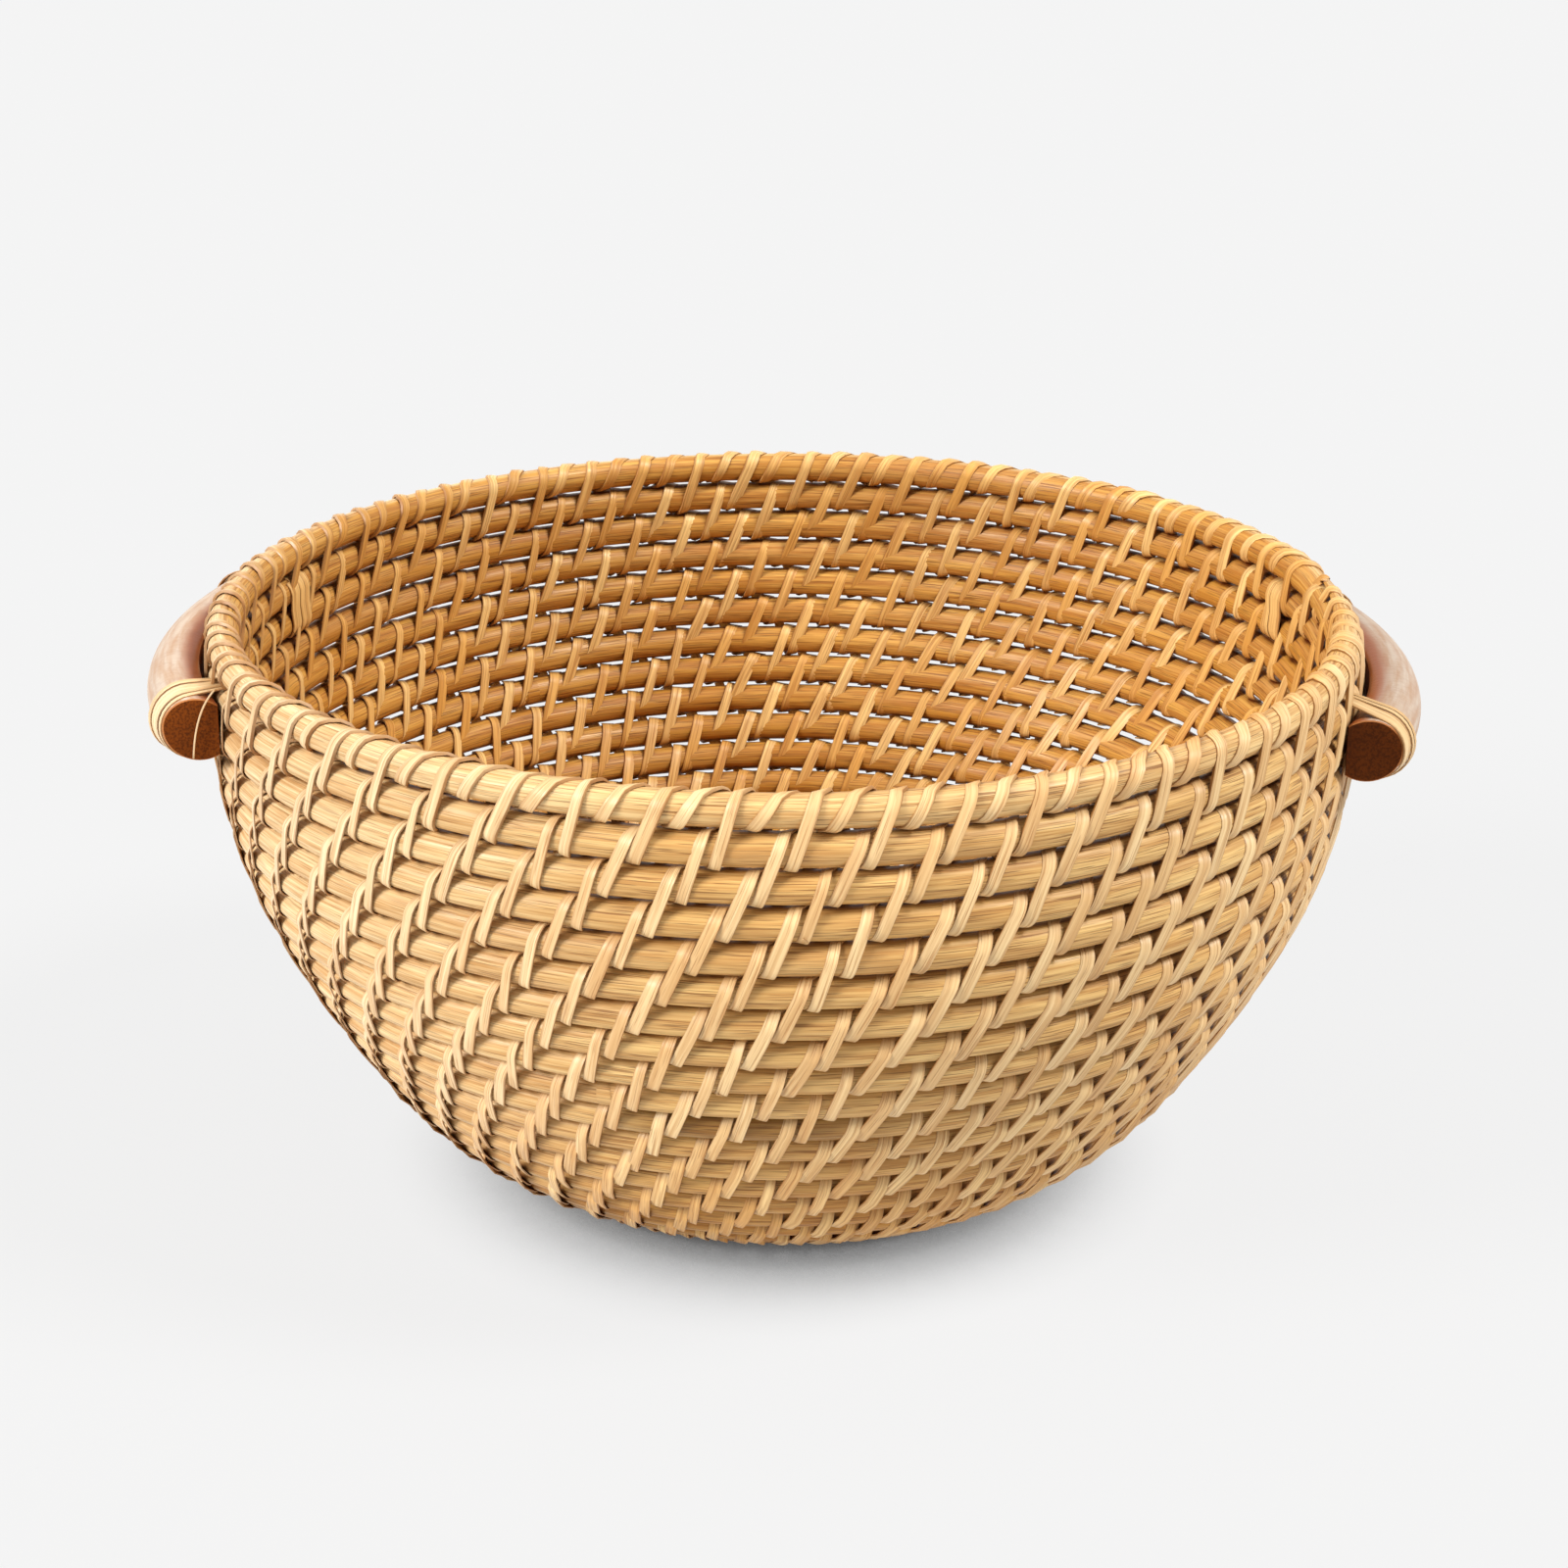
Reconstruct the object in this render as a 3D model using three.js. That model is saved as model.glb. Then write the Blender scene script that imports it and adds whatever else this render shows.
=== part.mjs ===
// A coiled rattan bowl. Round foundation rods, spliced end to end, coil from the middle of the base
// up the wall to the rim, and two bent pole handles are tied to the wall just under the rim.
// Millimetres, +Z up, the handles along X, the front of the bowl towards -Y.
import * as THREE from 'three';

const DEGREE = Math.PI / 180;

// Driving dimensions of the coil
const RIM_RADIUS = 173; // the bowl's axis to the middle of the rim turn
const ROD = 9.7; // diameter of a foundation rod
const TURN_GAP = 1.0; // room between two turns, where the binder goes through the wall
const BINDER = 0.9; // thickness of the binder that lies on each face of the wall
const ROD_COUNT = 12; // rods of equal length in the whole coil
const SPLICE_GAP = 0.3; // between the ends of two rods that meet
const START_RADIUS = 7.2; // where the coil starts, in the middle of the base

// The wall from the rim down to the flat base is a chain of arcs. A lean of 0 degrees is upright,
// 90 is flat, and a minus sign leans in towards the top.
const RIM_LEAN = -4;
const WALL_ARCS = [
  { length: 43, lean: 8 },
  { length: 43, lean: 25 },
  { length: 64, lean: 38 },
  { length: 64, lean: 73.5 },
  { length: 16, lean: 90 },
];

// Driving dimensions of the handles and of what ties them on
const HANDLE_DIAMETER = 20;
const HANDLE_FLAT = 4; // depth of the flat sawn on the side that faces the wall
const HANDLE_SPAN = 134; // from one sawn end to the other
const HANDLE_GAP = 1.4; // between wall and handle, at the middle of the handle
const HANDLE_DROP = { right: 18.6, left: 16.5 }; // from the rim turn's middle to the handle's middle
const SEAT = 0.3; // clearance between pieces that touch
const LASHING_WIDTH = 4;
const LASHING_LOOPS = 3;
const LASHING_SPACE = 0.8; // between two loops side by side
const LASHING_MARGIN = 3; // from the handle's sawn end to the first loop

// Facets
const STEPS = 24; // straight steps in one turn of the coil
const ROD_SIDES = 6;
const STRAIGHT_STEPS = STEPS / 4; // the coil's first steps are one straight run
const HANDLE_STEPS = 16;
const HANDLE_SIDES = 12;
const LASHING_SIDES = 8; // straight steps round the handle

// Sizes that follow from the driving dimensions
const PITCH = ROD + TURN_GAP;
const HALF_WALL = ROD / 2 + BINDER; // a turn with the binder on it reaches this far each side
const BASE_HEIGHT = HALF_WALL; // the base turns stand on their flat undersides
const LASHING_THICKNESS = TURN_GAP - 2 * SEAT;
const LASHING_STOPS = LASHING_SIDES + 5; // corners of the strip in one loop

const materials = {
  rod: new THREE.MeshStandardMaterial({ color: 0xd2a96b, roughness: 0.55, metalness: 0 }),
  handle: new THREE.MeshStandardMaterial({ color: 0xc79a7d, roughness: 0.4, metalness: 0 }),
  lashing: new THREE.MeshStandardMaterial({ color: 0xe0c48c, roughness: 0.5, metalness: 0 }),
};

// The wall's middle line, s millimetres down from the rim turn: radius, drop below the rim and lean
function profile(s) {
  let radius = RIM_RADIUS;
  let drop = 0;
  let lean = RIM_LEAN * DEGREE;
  let left = s;
  for (const arc of WALL_ARCS) {
    const end = arc.lean * DEGREE;
    const bend = (end - lean) / arc.length;
    const run = Math.min(left, arc.length);
    const reached = lean + bend * run;
    radius -= (Math.cos(lean) - Math.cos(reached)) / bend;
    drop += (Math.sin(reached) - Math.sin(lean)) / bend;
    lean = reached;
    left -= run;
    if (left <= 0) {
      return { radius, drop, lean };
    }
  }
  return { radius: radius - left, drop, lean };
}

const ARCS_LENGTH = WALL_ARCS.reduce((sum, arc) => sum + arc.length, 0);
const WALL_FOOT = profile(ARCS_LENGTH);
const RIM_HEIGHT = BASE_HEIGHT + WALL_FOOT.drop;
const START_DEPTH = ARCS_LENGTH + WALL_FOOT.radius - START_RADIUS;
const TURNS = START_DEPTH / PITCH;
const COIL_STEPS = Math.round(TURNS * STEPS);

// Where the handles sit on the wall, and where their lashings end, as angles from the handle's middle
const WIDEST = Math.max(...Array.from({ length: WALL_ARCS[0].length }, (_, s) => profile(s).radius));
const SEAT_RADIUS = WIDEST + HALF_WALL + SEAT;
const HALF_SPAN = HANDLE_SPAN / 2;
const END_ANGLE = Math.asin(HALF_SPAN / SEAT_RADIUS);
const LASHING_REACH = LASHING_MARGIN + (LASHING_LOOPS + 1) * (LASHING_WIDTH + LASHING_SPACE) - LASHING_SPACE;
const CLEAR_ANGLE = END_ANGLE - LASHING_REACH / SEAT_RADIUS;

// The rod climbs to the next row in one part of each turn, so that the rows and the rim lie level. The
// top turn climbs behind the right handle, between its lashings, where the rod's end thins to nothing.
const STEP_ANGLE = (2 * Math.PI) / STEPS;
const CLIMB_STEPS = Math.max(1, Math.floor((2 * CLEAR_ANGLE) / STEP_ANGLE));
const CLIMB_START = (-CLIMB_STEPS / 2) * STEP_ANGLE;
const RIM_CLIMB = CLIMB_STEPS / STEPS; // share of the top turn; at the middle of the base all of it climbs

// How far down the coil is after so many turns from the rim's end, counted in rows. Each turn stays
// level first and comes down in its last part, and that part is longer in each turn further down.
function rowAfter(turns) {
  const whole = Math.floor(turns);
  const share = RIM_CLIMB ** (1 - whole / TURNS);
  return whole + Math.max(0, 1 - (1 - (turns - whole)) / share);
}

// A point of the wall at an angle, s millimetres down, and out from the wall's middle by so much
function wallPoint(angle, s, out = 0) {
  const { radius, drop, lean } = profile(s);
  const reach = radius + out * Math.cos(lean);
  const height = RIM_HEIGHT - drop - out * Math.sin(lean);
  return new THREE.Vector3(reach * Math.cos(angle), reach * Math.sin(angle), height);
}

// One stop of the coil's path, so many steps down from the rim's end. Before step 0 lies the thinned
// end of the rod, which keeps the rim level above the turn that climbs under it.
function coilStop(step) {
  const angle = CLIMB_START - step * STEP_ANGLE;
  let depth = PITCH * rowAfter(step / STEPS);
  let height = ROD;
  if (step < 0) {
    const room = 1 + step / CLIMB_STEPS;
    depth = (-PITCH * (1 - room)) / 2;
    height = PITCH * room - TURN_GAP;
  }
  const place = wallPoint(angle, depth);
  const normal = wallPoint(angle, depth, 1).sub(place);
  return { place, normal, scale: height / ROD };
}

function between(a, b, share) {
  return {
    place: a.place.clone().lerp(b.place, share),
    normal: a.normal.clone().lerp(b.normal, share).normalize(),
    scale: THREE.MathUtils.lerp(a.scale, b.scale, share),
  };
}

// A closed body through sections of equal point count. Seen from its end, each section runs
// anticlockwise.
function loft(sections) {
  const count = sections[0].length;
  const last = (sections.length - 1) * count;
  const indices = [];
  for (let i = 0; i < sections.length - 1; i += 1) {
    for (let j = 0; j < count; j += 1) {
      const next = (j + 1) % count;
      const [a, b] = [i * count + j, i * count + next];
      indices.push(a, b, b + count, a, b + count, a + count);
    }
  }
  for (let j = 1; j < count - 1; j += 1) {
    indices.push(0, j + 1, j, last, last + j, last + j + 1);
  }
  const geometry = new THREE.BufferGeometry();
  geometry.setAttribute('position', new THREE.Float32BufferAttribute(
    sections.flat().flatMap((point) => point.toArray()), 3));
  geometry.setIndex(indices);
  geometry.computeVertexNormals();
  return geometry;
}

// A rod through its stops. The section is a hexagon whose flats lie on the wall's two faces and whose
// edges point to the neighbouring turns. The underside of the bowl is cut flat.
function rodSections(stops) {
  return stops.map(({ place, normal, scale }, i) => {
    const before = stops[Math.max(0, i - 1)].place;
    const after = stops[Math.min(stops.length - 1, i + 1)].place;
    const here = place.clone();
    const run = after === place || before === place
      ? after.clone().sub(before).normalize()
      : after.clone().sub(here).normalize().add(here.clone().sub(before).normalize()).normalize();
    const across = normal.clone().cross(run).normalize();
    const out = run.clone().cross(across);
    return Array.from({ length: ROD_SIDES }, (_, side) => {
      const turn = (side / ROD_SIDES) * 2 * Math.PI;
      const along = (ROD / 2) * Math.cos(turn) * scale;
      const through = (HALF_WALL * Math.sin(turn) * scale) / Math.sin(Math.PI / 3);
      const corner = here.clone().addScaledVector(across, along).addScaledVector(out, through);
      corner.z = Math.max(corner.z, 0);
      return corner;
    });
  });
}

// The whole path of the coil, from its straight start in the middle of the base to the rim's end
function coilPath() {
  const path = [coilStop(COIL_STEPS)];
  for (let step = COIL_STEPS - STRAIGHT_STEPS; step > -CLIMB_STEPS; step -= 1) {
    path.push(coilStop(step));
  }
  path.push(between(path.at(-1), coilStop(-CLIMB_STEPS), 0.5));
  return path;
}

// The path cut into rods of about equal length. Each splice is in the middle of a straight step.
function cutIntoRods(path) {
  const runs = path.slice(1).map((stop, i) => stop.place.distanceTo(path[i].place));
  const rodLength = runs.reduce((sum, run) => sum + run, 0) / ROD_COUNT;
  const rods = [[path[0]]];
  let travelled = 0;
  runs.forEach((run, i) => {
    travelled += run;
    if (rods.length < ROD_COUNT && travelled >= rodLength * rods.length) {
      const half = SPLICE_GAP / 2 / run;
      rods.at(-1).push(between(path[i], path[i + 1], 0.5 - half));
      rods.push([between(path[i], path[i + 1], 0.5 + half)]);
    }
    rods.at(-1).push(path[i + 1]);
  });
  return rods;
}

// The least gap that a wound piece has to itself, between corners of sections half a loop or more apart
function leastGap(sections, loopLength) {
  let least = Infinity;
  sections.forEach((section, i) => {
    const others = sections.slice(i + loopLength / 2).flat();
    section.forEach((corner) => {
      others.forEach((other) => {
        least = Math.min(least, corner.distanceTo(other));
      });
    });
  });
  return least.toFixed(2);
}

// The coil's steps are straight, so between two stops its wall lies a little inside the round. These
// give the angle at the middle of a step, and how far out the step is, as a share of the round.
function facetMiddle(angle) {
  return CLIMB_START + (Math.floor((angle - CLIMB_START) / STEP_ANGLE) + 0.5) * STEP_ANGLE;
}

function facetShare(angle) {
  return Math.cos(STEP_ANGLE / 2) / Math.cos(angle - facetMiddle(angle));
}

// The handle's inner face is an arc in plan that meets the wall at both ends
const END_RADIUS = (WIDEST + HALF_WALL) * facetShare(END_ANGLE) + SEAT;
const HANDLE_END_X = Math.sqrt(END_RADIUS ** 2 - HALF_SPAN ** 2);
const HANDLE_BOW = SEAT_RADIUS + HANDLE_GAP - HANDLE_END_X;
const FLAT_RADIUS = (HALF_SPAN ** 2 + HANDLE_BOW ** 2) / (2 * HANDLE_BOW);
const HANDLE_CENTRE_X = SEAT_RADIUS + HANDLE_GAP - FLAT_RADIUS;
const POLE_RADIUS = HANDLE_DIAMETER / 2;
const POLE_OFFSET = POLE_RADIUS - HANDLE_FLAT; // from the sawn flat to the middle of the round
const FLAT_ANGLE = Math.acos(-POLE_OFFSET / POLE_RADIUS);

// A handle at +X with its middle at height 0: a round pole with a flat, sawn square to Y at both ends
function handleGeometry() {
  const sections = Array.from({ length: HANDLE_STEPS + 1 }, (_, i) => {
    const share = (2 * i) / HANDLE_STEPS - 1;
    return Array.from({ length: HANDLE_SIDES + 1 }, (__, side) => {
      const turn = FLAT_ANGLE * (1 - (2 * side) / HANDLE_SIDES);
      const reach = FLAT_RADIUS + POLE_OFFSET + POLE_RADIUS * Math.cos(turn);
      const swing = share * Math.asin(HALF_SPAN / reach);
      return new THREE.Vector3(
        HANDLE_CENTRE_X + reach * Math.cos(swing),
        reach * Math.sin(swing),
        POLE_RADIUS * Math.sin(turn),
      );
    });
  });
  return loft(sections);
}

// How far down the straight steps of the coil are after so many turns, in rows
function facetRow(turns) {
  const step = Math.floor(turns * STEPS);
  return THREE.MathUtils.lerp(rowAfter(step / STEPS), rowAfter((step + 1) / STEPS), turns * STEPS - step);
}

// The gaps above each turn at an angle, as depths down the wall from the rim turn
function gapDepths(angle) {
  const past = ((CLIMB_START - angle) / (2 * Math.PI) % 1 + 1) % 1;
  const rows = Array.from({ length: Math.ceil(TURNS / 2) }, (_, i) => facetRow(past + i));
  return rows.map((row, i) => (PITCH * (row + (rows[i - 1] ?? row - 1))) / 2);
}

// Where a straight line from a point touches a circle round the handle, as an angle on that circle
function touchAngle(dx, dz, radius, side) {
  return Math.atan2(dz, dx) - side * Math.acos(radius / Math.hypot(dx, dz));
}

// The lashing's line in the upright plane at an angle: up the inside of the wall, out through the gap
// above the handle, round the handle and back through the gap below it.
function lashingLoop(angle, handleHeight) {
  const facet = facetShare(angle);
  const at = (depth, out) => {
    const point = wallPoint(0, depth, out);
    return new THREE.Vector2(point.x * facet, point.z);
  };
  const cornerHeight = POLE_RADIUS * Math.sin(FLAT_ANGLE);
  const gaps = gapDepths(angle).map((depth) => ({ depth, point: at(depth, 0) }));
  const above = gaps.filter(({ point }) => point.y > handleHeight + cornerHeight).at(-1);
  const below = gaps.find(({ point }) => point.y < handleHeight - cornerHeight);
  const inside = -(HALF_WALL + SEAT + LASHING_THICKNESS / 2);
  const flatHalf = PITCH / 4;
  const side = Math.sin(angle) * HANDLE_CENTRE_X;
  const reach = FLAT_RADIUS + POLE_OFFSET;
  const poleX = Math.abs(HANDLE_CENTRE_X * Math.cos(angle)) + Math.sqrt(reach ** 2 - side ** 2);
  const round = POLE_RADIUS + SEAT + LASHING_THICKNESS;
  const first = touchAngle(above.point.x - poleX, above.point.y - handleHeight, round, 1);
  const last = touchAngle(below.point.x - poleX, below.point.y - handleHeight, round, -1);
  const arc = Array.from({ length: LASHING_SIDES + 1 }, (_, i) => {
    const turn = THREE.MathUtils.lerp(first, last, i / LASHING_SIDES);
    return new THREE.Vector2(poleX + round * Math.cos(turn), handleHeight + round * Math.sin(turn));
  });
  const rise = [at(below.depth - flatHalf, inside), at(above.depth + flatHalf, inside)];
  return [...rise, above.point, ...arc, below.point];
}

// A flat strip wound round a handle's end and the rows behind it. The sign of way says to which end
// of the handle, and turn is the angle of the handle itself.
function lashingSections(turn, way, handleHeight) {
  const firstAngle = END_ANGLE - (LASHING_MARGIN + LASHING_WIDTH / 2) / SEAT_RADIUS;
  const advance = (LASHING_WIDTH + LASHING_SPACE) / SEAT_RADIUS;
  const stops = [];
  for (let i = 0; i < LASHING_LOOPS * LASHING_STOPS + 2; i += 1) {
    const angle = turn + way * (firstAngle - (advance * i) / LASHING_STOPS);
    stops.push({ point: lashingLoop(angle, handleHeight)[i % LASHING_STOPS], angle });
  }
  return stops.map(({ point, angle }, i) => {
    const before = stops[Math.max(0, i - 1)].point;
    const after = stops[Math.min(stops.length - 1, i + 1)].point;
    const arrive = (i > 0 ? point.clone().sub(before) : after.clone().sub(point)).normalize();
    const leave = (i < stops.length - 1 ? after.clone().sub(point) : arrive.clone()).normalize();
    const run = arrive.clone().add(leave).normalize();
    const half = LASHING_THICKNESS / 2 / run.dot(leave);
    const facing = facetMiddle(angle);
    const width = new THREE.Vector3(-Math.sin(facing), Math.cos(facing), 0);
    const out = new THREE.Vector3(-run.y * Math.cos(facing), -run.y * Math.sin(facing), run.x);
    const middle = new THREE.Vector3(point.x * Math.cos(angle), point.x * Math.sin(angle), point.y);
    return [[-1, -1], [1, -1], [1, 1], [-1, 1]].map(([a, b]) => middle.clone()
      .addScaledVector(width, (a * LASHING_WIDTH) / 2)
      .addScaledVector(out, b * half));
  });
}

function mesh(name, geometry, material) {
  const made = new THREE.Mesh(geometry, material);
  made.name = name;
  return made;
}

const bowl = new THREE.Group();

const path = coilPath();
cutIntoRods(path).forEach((stops, i) => {
  bowl.add(mesh(`core_rod_${i + 1}`, loft(rodSections(stops)), materials.rod));
});
console.log(`least gap between turns of the coil: ${leastGap(rodSections(path), STEPS)} mm`);

Object.entries(HANDLE_DROP).forEach(([side, drop]) => {
  const turn = side === 'right' ? 0 : Math.PI;
  const height = RIM_HEIGHT - drop;
  const handle = mesh(`handle_${side}`, handleGeometry(), materials.handle);
  handle.position.z = height;
  handle.rotation.z = turn;
  bowl.add(handle);
  ['front', 'back'].forEach((end) => {
    const way = (end === 'back' ? 1 : -1) * (side === 'right' ? 1 : -1);
    const sections = lashingSections(turn, way, height);
    bowl.add(mesh(`lashing_${side}_${end}`, loft(sections), materials.lashing));
    console.log(`least gap in lashing_${side}_${end}: ${leastGap(sections, LASHING_STOPS)} mm`);
  });
});

export default bowl;
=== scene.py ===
"""A coiled rattan bowl with two pole handles: round core rods, the peel strips that bind them row to
row, bark-covered handles with sawn ends, and the lashings that tie them on."""

import math

import bmesh
import bpy
from mathutils import Matrix, Vector


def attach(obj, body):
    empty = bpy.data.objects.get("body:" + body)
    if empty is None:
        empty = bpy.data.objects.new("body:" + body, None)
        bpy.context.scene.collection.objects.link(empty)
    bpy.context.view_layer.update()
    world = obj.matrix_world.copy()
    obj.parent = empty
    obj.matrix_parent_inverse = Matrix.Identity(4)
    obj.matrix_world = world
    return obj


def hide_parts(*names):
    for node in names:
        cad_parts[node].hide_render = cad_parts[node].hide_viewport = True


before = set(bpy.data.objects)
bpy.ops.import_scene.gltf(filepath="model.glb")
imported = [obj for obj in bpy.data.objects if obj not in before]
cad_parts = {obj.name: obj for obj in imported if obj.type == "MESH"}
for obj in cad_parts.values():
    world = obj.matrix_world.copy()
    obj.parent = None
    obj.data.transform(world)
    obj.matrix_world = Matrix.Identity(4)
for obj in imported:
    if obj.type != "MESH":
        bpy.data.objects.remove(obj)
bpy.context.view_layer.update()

MM = 0.001
TURN = 2 * math.pi

# The coil, in millimetres and degrees, as in the part's source
RIM_RADIUS = 173
PITCH = 10.7
WALL_HALF = 5.75
START_RADIUS = 7.2
RIM_LEAN = -4
WALL_ARCS = ((43, 8), (43, 25), (64, 38), (64, 73.5), (16, 90))
ROD_COUNT = 12
CLIMB_START = math.radians(-15)
RIM_CLIMB = 1 / 12
START_CURL = 1.1
CURL_DEPTH = 5.2
CURL_THINNING = 0.6
CURL_POWER = 1.2
TAIL_LEAST = 0.12
TAIL_SHARE = 0.78
STOPS_PER_TURN = 96
LOOK_STEP = 0.002

# The looks of rod and binder
ROD = 9.6
ROD_SWELL = 0.022
SWELL_WAVES = ((0.6, 17.3, 0.0), (0.4, 41.7, 1.3))
ROD_SIDES = 20
ROD_FLATNESS = 2.15
STRIP_WIDTH = 3.75
STRIP_THICKNESS = 0.45
RIM_THICKNESS = 1.0
STRIP_CROWN = 0.06
STRIP_BULGE = 0.1
LOOSE_BULGE = 0.8
STRIP_ROLL = 0.24
HELIX_SHARE = 0.55
STITCHES_PER_TURN = 54
CLOSEST_STITCHES = 10.5
ROW_SHIFT = 0.43
TAIL_STITCHES = 6
TAIL_STITCH_SHARE = 0.76
TAIL_STITCH_START = 0.35
TAIL_TONE_STEP = 0.37
WIDTH_VARIATION = 0.14
LEAN_VARIATION = 0.06
LOOSE_ROWS = range(1, 17)
LOOSE_EVERY = 23
LOOSE_WIDTHS = (0.9, 0.8, 0.6, 0.3)
LOOSE_THICKNESS = 0.3
LOOSE_SEED = 9
FIBRE_WIDTH = 0.55
FIBRE_STEPS = 12
FIBRE_TONE = 0.1

# The handles and their lashings
HANDLE_RADIUS = 10
HANDLE_FLAT = 4
HANDLE_HALF_SPAN = 67
HANDLE_DROP = {"right": 20.2, "left": 16.5}
HANDLE_SWING = {"right": math.radians(-0.9), "left": 0}
HANDLE_GAP = 1.4
SEAT = 0.3

# The photograph's view, fitted to its rows of coil
CAMERA_ELEVATION = math.radians(20.65)
CAMERA_DISTANCE = 1019.4 * MM
CAMERA_ROLL = math.radians(0.323)
CAMERA_LENS = 73.53
AIM_BELOW_RIM = 57.7


# The coil's path

def wall_section(depth):
    """Radius, drop below the rim and lean of the wall's middle line, so far down from the rim turn."""
    radius, drop, lean, left = RIM_RADIUS, 0.0, math.radians(RIM_LEAN), depth
    for length, end in WALL_ARCS:
        bend = (math.radians(end) - lean) / length
        run = min(left, length)
        reached = lean + bend * run
        radius -= (math.cos(lean) - math.cos(reached)) / bend
        drop += (math.sin(reached) - math.sin(lean)) / bend
        lean = reached
        left -= run
        if left <= 0:
            return radius, drop, lean
    return radius - left, drop, lean


ARCS_LENGTH = sum(length for length, _ in WALL_ARCS)
FOOT_RADIUS, FOOT_DROP, _ = wall_section(ARCS_LENGTH)
RIM_HEIGHT = WALL_HALF + FOOT_DROP
TURNS = (ARCS_LENGTH + FOOT_RADIUS - START_RADIUS) / PITCH


def ease(share):
    share = min(1.0, max(0.0, share))
    return share * share * (3 - 2 * share)


def row_after(turns):
    """Rows down from the rim, so many turns from the coil's end: level first, then down to the next."""
    whole = math.floor(turns)
    share = RIM_CLIMB ** (1 - whole / TURNS)
    return whole + ease(1 - (1 - (turns - whole)) / share)


def wall_point(angle, depth, out=0.0):
    """A point of the wall, in metres, so far down it and so far out from its middle line."""
    radius, drop, lean = wall_section(depth)
    reach = radius + out * math.cos(lean)
    height = RIM_HEIGHT - drop - out * math.sin(lean)
    return Vector((reach * math.cos(angle), reach * math.sin(angle), height)) * MM


def coil_lean(turns):
    return wall_section(PITCH * row_after(min(TURNS, max(0, turns))))[2]


def coil_stop(turns):
    """Place of the rod's middle and its thickness as a share, so many turns down from the coil's end.
    Before turn 0 lies the thinned tail, which keeps the rim level above the turn that climbs under it."""
    angle = CLIMB_START - turns * TURN
    if turns > TURNS:
        curl = (turns - TURNS) / START_CURL
        depth = PITCH * row_after(TURNS) + CURL_DEPTH * curl
        return wall_point(angle, depth), 1 - CURL_THINNING * curl ** CURL_POWER
    if turns >= 0:
        swell = sum(share * math.sin(rate * turns + shift) for share, rate, shift in SWELL_WAVES)
        return wall_point(angle, PITCH * row_after(turns)), 1 + ROD_SWELL * swell
    room = ease(1 + turns / RIM_CLIMB)
    share = (PITCH * room - (PITCH - ROD)) / ROD
    return wall_point(angle, -PITCH * (1 - room) / 2), max(TAIL_LEAST, share)


def coil_ahead(turns):
    """The way the coil runs at a place, towards its end at the rim."""
    return coil_stop(turns - LOOK_STEP)[0] - coil_stop(turns + LOOK_STEP)[0]


# Small tools for meshes and node trees

def new_object(name, mesh):
    piece = bpy.data.objects.new(name, mesh)
    bpy.context.scene.collection.objects.link(piece)
    return piece


def add_attribute(mesh, name, kind, values):
    data = mesh.attributes.new(name, kind, "POINT").data
    if kind == "FLOAT":
        data.foreach_set("value", list(values))
    else:
        data.foreach_set("vector", [part for value in values for part in value])


class Tree:
    """A node tree with short calls to place nodes and join their sockets."""

    def __init__(self, tree):
        self.tree = tree

    def add(self, kind, settings=None, **inputs):
        node = self.tree.nodes.new(kind)
        for key, value in (settings or {}).items():
            setattr(node, key, value)
        for key, value in inputs.items():
            self.feed(node, key.replace("_", " "), value)
        return node

    def feed(self, node, socket, value):
        if isinstance(socket, str):
            socket = next(s for s in node.inputs if s.name.lower() == socket.lower() and s.enabled)
        else:
            socket = node.inputs[socket]
        if isinstance(value, bpy.types.NodeSocket):
            self.tree.links.new(value, socket)
        elif isinstance(value, bpy.types.Node):
            self.tree.links.new(first_output(value), socket)
        else:
            socket.default_value = value

    def math(self, operation, *values):
        node = self.add("ShaderNodeMath", {"operation": operation})
        for place, value in enumerate(values):
            self.feed(node, place, value)
        return node


def first_output(node):
    return next(socket for socket in node.outputs if socket.enabled)


SOCKETS = {"geometry": "NodeSocketGeometry", "float": "NodeSocketFloat", "int": "NodeSocketInt",
           "object": "NodeSocketObject", "material": "NodeSocketMaterial", "vector": "NodeSocketVector"}


def new_tree(name, kind, inputs, outputs):
    tree = bpy.data.node_groups.new(name, kind)
    for label, socket in inputs:
        tree.interface.new_socket(label, in_out="INPUT", socket_type=SOCKETS[socket])
    for label, socket in outputs:
        tree.interface.new_socket(label, in_out="OUTPUT", socket_type=SOCKETS[socket])
    build = Tree(tree)
    return build, build.add("NodeGroupInput"), build.add("NodeGroupOutput")


def grow(piece, tree, **values):
    """Runs a Geometry Nodes tree on a piece and keeps the result as its plain mesh."""
    modifier = piece.modifiers.new("shape", "NODES")
    modifier.node_group = tree
    for item in tree.interface.items_tree:
        label = item.name.lower().replace(" ", "_")
        if item.in_out == "INPUT" and label in values:
            modifier[item.identifier] = values[label]
    bpy.context.view_layer.update()
    whole = piece.evaluated_get(bpy.context.evaluated_depsgraph_get())
    mesh = bpy.data.meshes.new_from_object(whole)
    piece.modifiers.clear()
    piece.data = mesh
    mesh.name = piece.name
    return piece


# Geometry Nodes

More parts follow.
